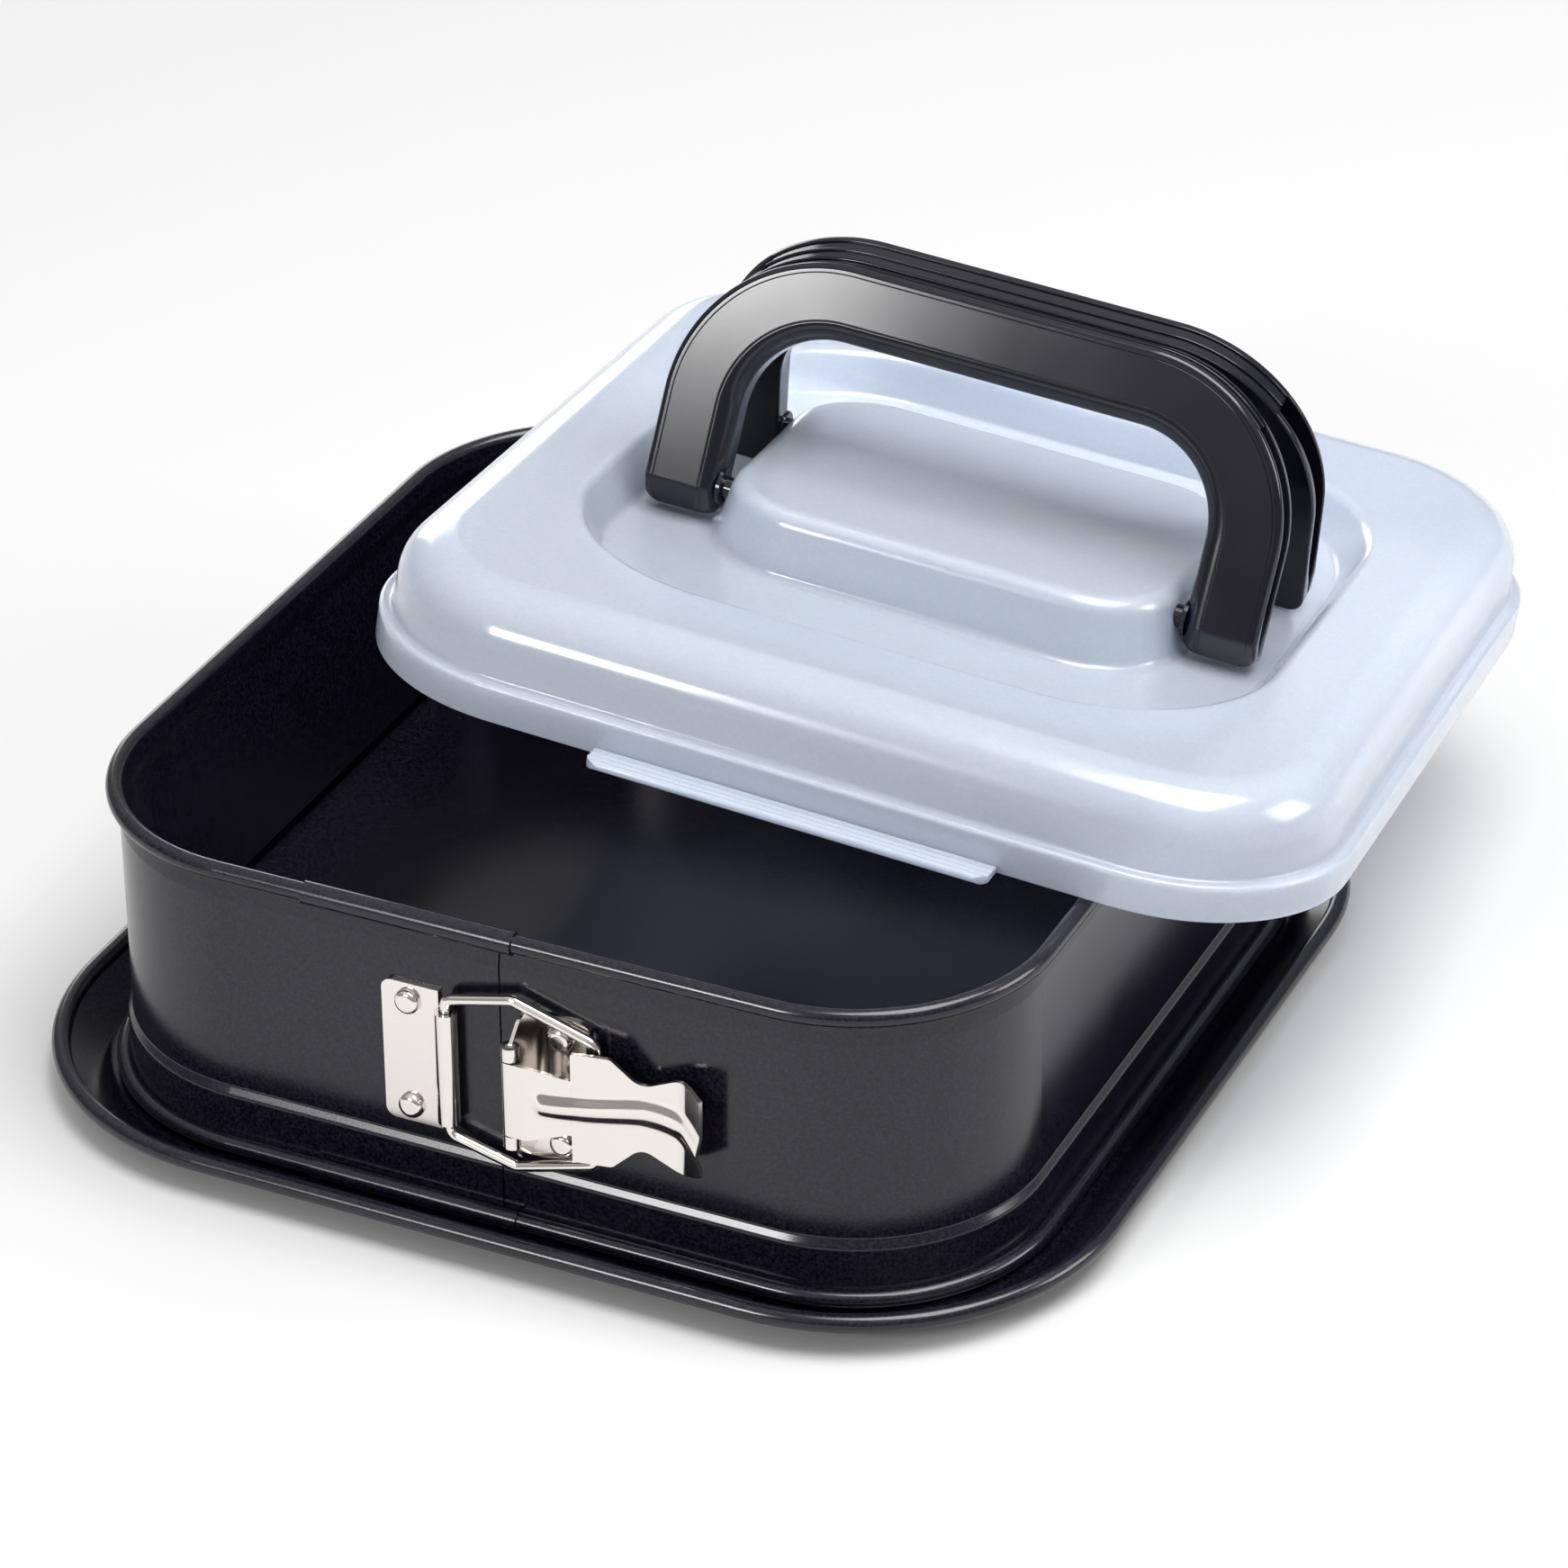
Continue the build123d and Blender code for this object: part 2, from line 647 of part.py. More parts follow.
def handle(side):
    """Handle on the front (-1) or back (1) of the island, leaning in towards the other one."""
    lean_angle = radians(handle_lean)
    middle = Plane(
        origin=(0, side * handle_pivot_y, handle_pivot_height),
        x_dir=(-side, 0, 0),
        z_dir=(0, side * cos(lean_angle), sin(lean_angle)),
    )
    face_axis = Axis(middle.origin, middle.z_dir)
    face_out = handle_thick / 2
    draft = radians(island_draft)
    island_end = island_half_x - (handle_pivot_height - moat_floor) * tan(draft)
    inside_end = island_end - lid_wall / cos(draft)
    boss_end = island_end + stud_boss_radius * tan(draft) + side_clearance
    head_start = inside_end - stud_head_radius * tan(draft) - stud_gap
    with BuildPart() as bow:
        with BuildSketch(middle):
            add(arch(0))
            add(arch(handle_width), mode=Mode.SUBTRACT)
        extrude(amount=face_out, both=True)
        feet = bow.edges().filter_by(face_axis).group_by(Axis.Z)[0]
        fillet(feet, handle_foot_corner)
        fillet(bow.faces().sort_by(face_axis)[-1].edges(), handle_edge)

        # The feet slant back below the face
        with BuildSketch(Plane(origin=middle.origin, x_dir=middle.y_dir, z_dir=middle.x_dir)):
            with BuildLine():
                Polyline(
                    (-handle_foot + foot_slant_height, face_out),
                    (-handle_foot, face_out - foot_slant_depth),
                    (-handle_foot - handle_edge, face_out - foot_slant_depth),
                    (-handle_foot - handle_edge, face_out + handle_edge),
                    (-handle_foot + foot_slant_height, face_out + handle_edge),
                    close=True,
                )
            make_face()
        extrude(amount=handle_half, both=True, mode=Mode.SUBTRACT)

        # A deep slot runs down the outer side of each leg
        with BuildSketch(middle):
            add(arch(0))
            add(arch(slot_depth), mode=Mode.SUBTRACT)
            add(grip_area(), mode=Mode.SUBTRACT)
            with Locations((0, -handle_foot)):
                Rectangle(2 * handle_half, 2 * slot_foot, mode=Mode.SUBTRACT)
        extrude(amount=slot_width / 2, both=True, mode=Mode.SUBTRACT)

        # Two shallow grooves leave three ribs along the top
        for groove_side in (-1, 1):
            with BuildSketch(middle.offset(groove_side * groove_pitch / 2 - groove_set_back)):
                add(arch(-groove_depth))
                add(arch(groove_depth), mode=Mode.SUBTRACT)
                add(grip_area(), mode=Mode.INTERSECT)
            extrude(amount=groove_width, mode=Mode.SUBTRACT)

        # The studs reach through the island's ends and have heads inside
        for end in (-1, 1):
            leg_face = Plane(
                origin=middle.origin + middle.x_dir * (end * handle_inner),
                x_dir=(0, 1, 0),
                z_dir=middle.x_dir * -end,
            )
            with BuildSketch(leg_face):
                Circle(stud_boss_radius)
            extrude(amount=handle_inner - boss_end)
            with BuildSketch(leg_face):
                Circle(stud_radius)
            extrude(amount=handle_inner - head_start)
            with BuildSketch(leg_face.offset(handle_inner - head_start)):
                Circle(stud_head_radius)
            extrude(amount=stud_head_thick)
    return bow.part


for name, side in (("front_handle", -1), ("rear_handle", 1)):
    leaning_handle = handle(side).moved(lean.location)
    leaning_handle.label = name
    export_step(leaning_handle, f"parts/{name}.step")
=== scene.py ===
"""Looks of a square springform pan whose plastic cover leans on its rim.

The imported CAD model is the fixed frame. The pan and most of the clasp keep their CAD solids and get
their finishes here. The cover, its two handles and the clasp's lever are worked out again as fine
surfaces and stand for their CAD nodes. Sizes are in millimetres until a mesh is made.
"""

import json
import logging
import math
from dataclasses import dataclass, field
from enum import Enum

import bmesh
import bpy
import numpy as np
from mathutils import Matrix, Vector


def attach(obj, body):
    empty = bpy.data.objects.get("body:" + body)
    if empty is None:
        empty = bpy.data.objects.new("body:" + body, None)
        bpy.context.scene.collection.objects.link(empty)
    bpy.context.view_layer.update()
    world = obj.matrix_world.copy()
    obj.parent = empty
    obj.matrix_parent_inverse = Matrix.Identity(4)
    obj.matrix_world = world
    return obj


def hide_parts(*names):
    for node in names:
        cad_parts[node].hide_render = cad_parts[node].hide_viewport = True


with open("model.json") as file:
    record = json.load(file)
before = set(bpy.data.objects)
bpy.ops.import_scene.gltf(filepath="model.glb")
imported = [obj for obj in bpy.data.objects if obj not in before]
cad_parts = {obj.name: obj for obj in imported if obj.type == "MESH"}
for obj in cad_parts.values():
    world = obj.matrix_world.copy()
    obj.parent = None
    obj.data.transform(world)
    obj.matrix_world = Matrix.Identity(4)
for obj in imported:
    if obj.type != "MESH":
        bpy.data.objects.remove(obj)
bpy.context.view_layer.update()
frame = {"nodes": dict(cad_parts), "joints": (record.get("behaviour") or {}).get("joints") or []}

MM = 0.001
MERGE_DISTANCE = 2e-7
SHARP_ANGLE = math.radians(38)
# The angles of the 32 points that a small circle has
CIRCLE = np.linspace(0, 2 * np.pi, 33)[:-1]
# Where a colour mix has its factor and its two colours among its inputs, and its result among its outputs
MIX_FACTOR, MIX_FIRST, MIX_SECOND, MIX_RESULT = 0, 6, 7, 2
log = logging.getLogger("springform_pan")


# Node trees


class NodeTree:
    """Places and joins shader nodes in one tree."""

    def __init__(self, tree: bpy.types.NodeTree) -> None:
        """Keeps the tree that the nodes go into."""
        self.tree = tree

    def add(self, kind: str, inputs: dict | None = None, **settings) -> bpy.types.Node:
        """Adds a node.

        Args:
            kind: Blender's name of the node type.
            inputs: values or sockets for the node's inputs, by name or number.
            settings: the node's own properties.

        Returns:
            The new node.
        """
        node = self.tree.nodes.new(kind)
        for name, value in settings.items():
            setattr(node, name, value)
        for name, value in (inputs or {}).items():
            if isinstance(value, bpy.types.NodeSocket):
                self.tree.links.new(value, node.inputs[name])
            else:
                node.inputs[name].default_value = value
        return node


@dataclass(frozen=True)
class Noise:
    """The noise of a surface effect: its detail, and how it is bent, drawn out or sharpened."""

    name: str
    detail: float
    roughness: float = 0.5
    distortion: float = 0.0
    stretch: tuple[float, float, float] | None = None
    contrast: tuple[float, float] | None = None


class Effect(Enum):
    """Surface effects that more than one finish uses."""

    SPECKLE = Noise("speckle", detail=2.0, roughness=0.6, contrast=(0.35, 0.7))
    CLOUDING = Noise("clouding", detail=3.0, distortion=0.4)
    HAIRLINES = Noise("hairlines", detail=4.0, roughness=0.7, stretch=(0.06, 1.0, 1.0))


def effect_group(effect: Effect) -> bpy.types.ShaderNodeTree:
    """Finds or builds the node group of an effect.

    Every group takes a scale in features per metre and gives one value from 0 to 1. It is a noise,
    on coordinates drawn out where the effect has a stretch, and sharpened where it has a contrast.

    Args:
        effect: which effect.

    Returns:
        The node group.
    """
    noise = effect.value
    known = bpy.data.node_groups.get(noise.name)
    if known is not None:
        return known
    group = bpy.data.node_groups.new(noise.name, "ShaderNodeTree")
    group.interface.new_socket("Scale", in_out="INPUT", socket_type="NodeSocketFloat")
    group.interface.new_socket("Value", in_out="OUTPUT", socket_type="NodeSocketFloat")
    nodes = NodeTree(group)
    scale = nodes.add("NodeGroupInput").outputs["Scale"]
    place = nodes.add("ShaderNodeTexCoord").outputs["Object"]
    if noise.stretch is not None:
        place = nodes.add("ShaderNodeMapping", {"Vector": place, "Scale": noise.stretch}).outputs[0]
    form = {"Detail": noise.detail, "Roughness": noise.roughness, "Distortion": noise.distortion}
    value = nodes.add("ShaderNodeTexNoise", {"Vector": place, "Scale": scale, **form})
    if noise.contrast is not None:
        low, high = noise.contrast
        value = nodes.add(
            "ShaderNodeMapRange",
            {"Value": value.outputs[0], "From Min": low, "From Max": high},
            interpolation_type="SMOOTHSTEP",
        )
    result = nodes.add("NodeGroupOutput")
    group.links.new(value.outputs[0], result.inputs["Value"])
    return group


@dataclass(frozen=True)
class Finish:
    """What every finish has: a name, a colour and a gloss that clouds a little over the surface."""

    name: str
    slot: str
    colour: tuple[float, float, float]
    second_colour: tuple[float, float, float]
    roughness: tuple[float, float]
    cloud_scale: float = 40.0
    cloud_span: tuple[float, float] = (0.3, 0.7)
    grain: Effect = Effect.SPECKLE
    grain_scale: float = 2500.0
    grain_height: float = 0.00002
    bump_strength: float = 0.6
    sockets: tuple[tuple[str, float | tuple[float, ...]], ...] = ()

    def material(self) -> bpy.types.Material:
        """Finds or builds the material.

        Returns:
            A Principled material whose colour, roughness and bump vary over the surface.
        """
        known = bpy.data.materials.get(self.name)
        if known is not None:
            return known
        made = bpy.data.materials.new(self.name)
        made.use_nodes = True
        nodes = NodeTree(made.node_tree)
        shader = made.node_tree.nodes["Principled BSDF"]
        clouds = nodes.add("ShaderNodeGroup", node_tree=effect_group(Effect.CLOUDING))
        clouds.inputs["Scale"].default_value = self.cloud_scale
        grain = nodes.add("ShaderNodeGroup", node_tree=effect_group(self.grain))
        grain.inputs["Scale"].default_value = self.grain_scale
        roughness = nodes.add(
            "ShaderNodeMapRange",
            {
                "Value": clouds.outputs[0],
                "From Min": self.cloud_span[0],
                "From Max": self.cloud_span[1],
                "To Min": self.roughness[0],
                "To Max": self.roughness[1],
            },
        )
        colour = self.colour_mix(nodes, grain.outputs[0])
        bump = nodes.add(
            "ShaderNodeBump",
            {
                "Height": grain.outputs[0],
                "Distance": self.grain_height,
                "Strength": self.bump_strength,
            },
        )
        links = made.node_tree.links
        links.new(roughness.outputs[0], shader.inputs["Roughness"])
        links.new(colour, shader.inputs["Base Color"])
        links.new(bump.outputs[0], shader.inputs["Normal"])
        for socket, value in self.sockets:
            shader.inputs[socket].default_value = value
        return made

    def colour_mix(self, nodes: NodeTree, factor: bpy.types.NodeSocket) -> bpy.types.NodeSocket:
        """Mixes the two colours by a factor and gives the socket with the result."""
        mix = nodes.add("ShaderNodeMix", data_type="RGBA")
        nodes.tree.links.new(factor, mix.inputs[MIX_FACTOR])
        mix.inputs[MIX_FIRST].default_value = (*self.colour, 1.0)
        mix.inputs[MIX_SECOND].default_value = (*self.second_colour, 1.0)
        return mix.outputs[MIX_RESULT]


COATING = Finish(
    name="pan_coating",
    slot="non_stick_coating",
    colour=(0.002, 0.0016, 0.004),
    second_colour=(0.012, 0.01, 0.02),
    roughness=(0.17, 0.21),
    grain_scale=1400.0,
    grain_height=0.000003,
    sockets=(("IOR", 1.5),),
)
NICKEL = Finish(
    name="bright_plating",
    slot="nickel_plate",
    colour=(0.8, 0.76, 0.72),
    second_colour=(0.86, 0.82, 0.78),
    roughness=(0.1, 0.15),
    grain=Effect.HAIRLINES,
    grain_scale=1800.0,
    grain_height=0.000004,
    sockets=(("Metallic", 1.0),),
)
WIRE = Finish(
    name="drawn_wire",
    slot="steel_wire",
    colour=(0.42, 0.42, 0.43),
    second_colour=(0.5, 0.5, 0.5),
    roughness=(0.25, 0.4),
    grain=Effect.HAIRLINES,
    grain_scale=2200.0,
    sockets=(("Metallic", 1.0),),
)
FROSTED = Finish(
    name="frosted_cover",
    slot="frosted_plastic",
    colour=(0.72, 0.8, 0.96),
    second_colour=(0.76, 0.83, 0.97),
    roughness=(0.16, 0.2),
    grain_scale=900.0,
    grain_height=0.000001,
    sockets=(
        ("IOR", 1.45),
        ("Transmission Weight", 0.6),
        ("Subsurface Weight", 0.8),
        ("Subsurface Radius", (1.0, 1.0, 1.0)),
        ("Subsurface Scale", 0.003),
        ("Coat Weight", 0.4),
        ("Coat Roughness", 0.06),
    ),
)
BLACK_PLASTIC = Finish(
    name="satin_black",
    slot="black_plastic",
    colour=(0.003, 0.003, 0.007),
    second_colour=(0.005, 0.005, 0.01),
    roughness=(0.11, 0.14),
    grain_scale=3000.0,
    grain_height=0.000001,
    sockets=(("IOR", 1.5),),
)


def dress(names: tuple[str, ...], finish: Finish) -> None:
    """Gives CAD nodes a finish.

    Args:
        names: the nodes.
        finish: the finish.
    """
    for name in names:
        node = frame["nodes"][name]
        node.data.materials.clear()
        node.data.materials.append(finish.material())
        log.info("dressed %s in %s", name, finish.name)


# Surfaces worked out as whole arrays


def fillet_run(
    corners: np.ndarray, radii: np.ndarray, steps: int, hold: float = 0.25
) -> tuple[np.ndarray, np.ndarray]:
    """Rounds the corners of an open run of straight lines.

    The tangent length at a corner is its radius times the tangent of half its turn. From there the
    heading turns evenly, and a point lies one radius from the corner's centre, square to the
    heading. One more point is held on each straight, just before and after the round.

    Args:
        corners: the run's (k, 2) corners, its two ends among them.
        radii: the radii of the k - 2 inner corners.
        steps: how many parts each round has.
        hold: how far before and after a round its straights are held.

    Returns:
        The (n, 2) points, and the (n, 2) unit normals to the left of the run.
    """
    along = np.diff(corners, axis=0)
    along = along / np.linalg.norm(along, axis=1, keepdims=True)
    before, after = along[:-1], along[1:]
    turn = np.arctan2(before[:, 0] * after[:, 1] - before[:, 1] * after[:, 0], (before * after).sum(1))
    radii = np.asarray(radii, float)
    reach = radii * np.tan(np.abs(turn) / 2)
    heading = np.arctan2(before[:, 1], before[:, 0])[:, None] + turn[:, None] * np.linspace(0, 1, steps + 1)
    left = np.stack([-np.sin(heading), np.cos(heading)], -1)
    bend = (np.sign(turn) * radii)[:, None, None]
    start = corners[1:-1] - before * reach[:, None]
    rounds = start[:, None] + left[:, :1] * bend - left * bend
    rounds = np.concatenate([rounds[:, :1] - before[:, None] * hold, rounds], 1)
    rounds = np.concatenate([rounds, rounds[:, -1:] + after[:, None] * hold], 1)
    left = np.concatenate([left[:, :1], left, left[:, -1:]], 1)
    first = np.array([[-along[0, 1], along[0, 0]]])
    last = np.array([[-along[-1, 1], along[-1, 0]]])
    points = np.concatenate([corners[:1], rounds.reshape(-1, 2), corners[-1:]])
    return points, np.concatenate([first, left.reshape(-1, 2), last])


def offset_run(corners: np.ndarray, amount: float) -> np.ndarray:
    """Moves an open run of straight lines to its left, mitring its corners.

    Args:
        corners: the run's (k, 2) corners.
        amount: how far to the left.

    Returns:
        The (k, 2) moved corners.
    """
    along = np.diff(corners, axis=0)
    along = along / np.linalg.norm(along, axis=1, keepdims=True)
    left = np.stack([-along[:, 1], along[:, 0]], -1)
    before = np.concatenate([left[:1], left])
    after = np.concatenate([left, left[-1:]])
    mitre = (before + after) / (1 + (before * after).sum(1, keepdims=True))
    return corners + amount * mitre


def rounded_rings(
    half_x: np.ndarray, half_y: np.ndarray, corner: np.ndarray, steps: int, side_steps: int
) -> np.ndarray:
    """Runs round rounded rectangles, one for each entry of the arrays.

    A point of a corner is its centre plus the corner radius along a heading that turns evenly. The
    straight sides are divided evenly.

    Args:
        half_x: half widths.
        half_y: half depths.
        corner: corner radii.
        steps: how many parts each corner has.
        side_steps: how many parts each straight side has.

    Returns:
        An (m, n, 2) grid, anticlockwise from the front right corner.
    """
    heading = (np.arange(4) - 1)[:, None] * np.pi / 2 + np.linspace(0, np.pi / 2, steps + 1)
    out = np.stack([np.cos(heading), np.sin(heading)], -1)
    signs = np.array([[1, -1], [1, 1], [-1, 1], [-1, -1]])
    centres = np.stack([half_x - corner, half_y - corner], -1)[:, None] * signs
    rounds = centres[:, :, None] + corner[:, None, None, None] * out
    share = np.linspace(0, 1, side_steps + 1)[1:-1, None]
    ends = rounds[:, :, -1:]
    starts = np.roll(rounds[:, :, :1], -1, axis=1)
    sides = ends * (1 - share) + starts * share
    return np.concatenate([rounds, sides], 2).reshape(len(half_x), -1, 2)


@dataclass
class Surface:
    """Grids and caps that are joined into one closed mesh."""

    points: list[np.ndarray] = field(default_factory=list)
    faces: list[list[int]] = field(default_factory=list)
    count: int = 0

    def add_points(self, points: np.ndarray) -> int:
        """Adds (..., 3) points in millimetres and gives the number of the first."""
        flat = np.asarray(points, float).reshape(-1, 3)
        first = self.count
        self.points.append(flat)
        self.count += len(flat)
        return first

    def add_grid(self, grid: np.ndarray) -> int:
        """Adds an (m, n, 3) grid whose rows are closed rings, with a face between four neighbours.

        Args:
            grid: the points.

        Returns:
            The number of the grid's first point.
        """
        rows, columns = grid.shape[:2]
        first = self.add_points(grid)
        row = np.arange(rows - 1)[:, None]
        column = np.arange(columns)[None, :]
        next_column = (column + 1) % columns
        around = (
            row * columns + column,
            row * columns + next_column,
            (row + 1) * columns + next_column,
            (row + 1) * columns + column,
        )
        quads = np.stack(np.broadcast_arrays(*around), -1).reshape(-1, 4) + first
        self.faces.extend(quads.tolist())
        return first

    def add_cap(self, first: int, count: int) -> None:
        """Closes a ring of points, numbered one after another, with one face."""
        self.faces.append(list(range(first, first + count)))

    def add_tube(self, grid: np.ndarray) -> None:
        """Adds a grid of closed rings, with a cap on its first and its last ring."""
        rows, columns = grid.shape[:2]
        first = self.add_grid(grid)
        self.add_cap(first, columns)
        self.add_cap(first + (rows - 1) * columns, columns)

    def mesh(self, name: str) -> bpy.types.Object:
        """Makes the mesh, in metres, with merged doubles, outward normals and smooth shading.

        Args:
            name: the piece's name.

        Returns:
            The object, at the origin.
        """
        data = bpy.data.meshes.new(name)
        data.from_pydata((np.concatenate(self.points) * MM).tolist(), [], self.faces)
        work = bmesh.new()
        work.from_mesh(data)
        bmesh.ops.remove_doubles(work, verts=work.verts, dist=MERGE_DISTANCE)
        bmesh.ops.recalc_face_normals(work, faces=work.faces)
        work.to_mesh(data)
        work.free()
        data.shade_smooth()
        data.set_sharp_from_angle(angle=SHARP_ANGLE)
        piece = bpy.data.objects.new(name, data)
        bpy.context.scene.collection.objects.link(piece)
        return piece


def soften_edges(piece: bpy.types.Object, width: float, segments: int = 2) -> None:
    """Rounds the sharp edges of a piece.

    Args:
        piece: the piece.
        width: how wide each round is, in millimetres.
        segments: how many parts it has.
    """
    bevel = piece.modifiers.new("soft_edges", "BEVEL")
    bevel.width = width * MM
    bevel.segments = segments
    bevel.limit_method = "ANGLE"
    bevel.angle_limit = SHARP_ANGLE
    bevel.harden_normals = True


def finish_piece(piece: bpy.types.Object, body: str, finish: Finish, node: str | None = None) -> None:
    """Gives a piece its finish and body, and lets it stand for a CAD node where one is named.

    Args:
        piece: the piece.
        body: the body that it rides on.
        finish: its finish.
        node: the CAD node.
    """
    piece.data.materials.append(finish.material())
    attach(piece, body)
    if node is not None:
        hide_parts(node)
    log.info("built %s on %s", piece.name, body)


@dataclass(frozen=True)
class Place:
    """A frame of its own for a sub-assembly: where it starts and how its axes lie."""

    origin: np.ndarray
    axes: np.ndarray

    def put(self, points: np.ndarray) -> np.ndarray:
        """Carries (..., 3) points from this frame to the CAD frame."""
        return self.origin + points @ self.axes


# Sub-assemblies


@dataclass
class Pan:
    """The base and the ring."""

    coated: tuple[str, ...] = ("base_tray", "ring_band")
    wires: tuple[str, ...] = ("base_wire", "rim_wire", "foot_wire")

    def build(self) -> None:
        """Dresses the pan's nodes."""
        dress(self.coated, COATING)
        dress(self.wires, WIRE)


@dataclass
class Lever:
    """The clasp's lever: one sheet curled round the hinge pin, with a pressed rib along it."""

    middle_z: float = 40.3
    pin: tuple[float, float] = (8.3, 116.35)
    curl_radius: float = 1.54
    curl_angles: tuple[float, float] = (-50.0, -270.0)
    curl_points: int = 40
    curl_slack: float = 0.05
    run: tuple[tuple[float, float], ...] = (
        (8.4, 117.89),
        (12.3, 117.89),
        (22.6, 114.75),
        (37.2, 112.25),
        (46.5, 112.05),
        (52.0, 114.9),
    )
    run_radii: tuple[float, ...] = (6.0, 8.0, 10.0, 6.0)
    run_steps: int = 10
    outline: tuple[tuple[float, float], ...] = (
        (5.0, 9.2),
        (12.3, 9.2),
        (21.8, 6.8),
        (21.8, 13.6),
        (30.4, 13.6),
        (36.9, 7.6),
        (46.6, 12.0),
        (53.4, 9.0),
    )
    outline_radii: tuple[float, ...] = (4.0, 0.2, 0.5, 1.6, 4.2, 5.5)
    outline_steps: int = 8
    outline_hold: float = 0.05
    shoulder_corner: int = 3
    shoulder_bend: int = 2
    shoulder_step: float = 0.01
    thickness: float = 0.92
    rib_line: tuple[tuple[float, float], ...] = (
        (13.0, 0.7),
        (18.0, 0.2),
        (29.0, 0.3),
        (37.3, 1.8),
        (42.3, 1.6),
        (47.3, -0.3),
        (52.3, -4.0),
    )
    rib_degree: int = 4
    rib_half: tuple[float, float] = (3.6, 4.8)
    rib_height: float = 1.1
    rib_rise: float = 3.0
    hook_half: float = 1.6
    hook_set_in: float = 2.4
    hook_thickness: float = 0.8
    hook_reach: float = 110.9
    hook_root: float = 0.2
    hook_rows: int = 4
    edge_round: float = 0.12
    station_step: float = 0.3
    across_steps: int = 88

    def section(self) -> tuple[np.ndarray, np.ndarray]:
        """Works out the lever's middle line, seen from above.

        It is an arc round the pin and then a filleted run of straights, cut into even stations.

        Returns:
            The (n, 2) points, along and out, and their normals to the left, which is outwards.
        """
        angles = np.radians(np.linspace(*self.curl_angles, self.curl_points))
        spokes = np.stack([np.cos(angles), np.sin(angles)], -1)
        curl = np.array(self.pin) + self.curl_radius * spokes
        run, run_left = fillet_run(np.array(self.run), np.array(self.run_radii), self.run_steps)
        points = np.concatenate([curl[:-1], run])
        left = np.concatenate([spokes[:-1], run_left])
        length = np.concatenate([[0.0], np.cumsum(np.linalg.norm(np.diff(points, axis=0), axis=1))])
        even = np.arange(0.0, length[-1], self.station_step)
        shoulder_x = self.outline[self.shoulder_corner][0]
        shoulder = np.interp(shoulder_x, run[:, 0], length[len(curl) - 1:])
        step = self.shoulder_step
        even = np.unique(np.concatenate([even, [shoulder - step, shoulder + step, length[-1]]]))
        points = np.stack([np.interp(even, length, points[:, axis]) for axis in (0, 1)], -1)
        left = np.stack([np.interp(even, length, left[:, axis]) for axis in (0, 1)], -1)
        return points, left / np.linalg.norm(left, axis=1, keepdims=True)

    def half_height(self, x: np.ndarray) -> np.ndarray:
        """Gives the lever's half height at each place along it, read off its filleted outline."""
        corners, radii = np.array(self.outline), np.array(self.outline_radii)
        outline, _ = fillet_run(corners, radii, self.outline_steps, hold=self.outline_hold)
        return np.interp(x, np.maximum.accumulate(outline[:, 0]), outline[:, 1])

    def rib(self, x: np.ndarray, z: np.ndarray) -> np.ndarray:
        """Gives the height of the pressed rib at each point.

        The rib's line is a smooth curve through its points. Across, the height falls off as a
        squared cosine, and along, it rises from nothing at the strap's end.
        """
        line = np.array(self.rib_line)
        middle = np.polyval(np.polyfit(line[:, 0], line[:, 1], self.rib_degree), x)
        share = np.clip((x - line[0, 0]) / (line[-1, 0] - line[0, 0]), 0, 1)
        half = self.rib_half[0] + (self.rib_half[1] - self.rib_half[0]) * share
        across = np.clip(np.abs(z - middle) / half, 0, 1)
        rise = np.clip((x - line[0, 0]) / self.rib_rise, 0, 1)
        return self.rib_height * np.cos(across * np.pi / 2) ** 2 * rise * rise * (3 - 2 * rise)

    def build(self) -> None:
        """Builds the lever and its two hooks."""
        middle, left = self.section()
        across = np.linspace(-1, 1, self.across_steps + 1)
        on_curl = np.arange(len(middle)) < np.argmax(middle[:, 0] > self.pin[0] + self.curl_slack)
        along_x = np.where(on_curl, self.pin[0], middle[:, 0])
        z = self.half_height(along_x)[:, None] * across
        height = self.rib(np.broadcast_to(along_x[:, None], z.shape), z)
        height[on_curl] = 0.0
        sheets = []
        for face in (0.5, -0.5):
            flat = middle[:, None] + left[:, None] * (height + face * self.thickness)[..., None]
            sheets.append(np.stack([flat[..., 0], -flat[..., 1], self.middle_z + z], -1))
        rings = np.concatenate([sheets[0], sheets[1][:, ::-1]], axis=1)
        surface = Surface()
        surface.add_tube(rings)
        self.add_hooks(surface)
        lever = surface.mesh("lever")
        soften_edges(lever, self.edge_round)
        finish_piece(lever, "lever", NICKEL, "clasp_lever")

    def add_hooks(self, surface: Surface) -> None:
        """Adds the tabs behind the shoulders that catch the bail, each a bent-back slip of sheet."""
        x, shoulder = self.outline[self.shoulder_corner]
        body_out = self.run[self.shoulder_bend][1]
        ring_x = x + np.array([0.0, 1.0, 1.0, 0.0]) * self.hook_thickness
        for side in (-1, 1):
            middle = self.middle_z + side * (shoulder - self.hook_set_in - self.hook_half)
            ring_z = middle + np.array([-1.0, -1.0, 1.0, 1.0]) * self.hook_half
            outs = np.linspace(body_out - self.hook_root, self.hook_reach, self.hook_rows)[:, None]
            surface.add_tube(np.stack(np.broadcast_arrays(ring_x, -outs, ring_z), -1))


@dataclass
class Clasp:
    """The catch plate with its bail, and the bracket with its lever."""

    plated: tuple[str, ...] = (
        "catch_plate",
        "catch_rivets",
        "bail_wire",
        "lever_bracket",
        "bracket_rivets",
    )
    lever: Lever = field(default_factory=Lever)

    def build(self) -> None:
        """Dresses the clasp's nodes and builds the lever."""
        dress(self.plated, NICKEL)
        dress(("lever_pin",), WIRE)
        self.lever.build()


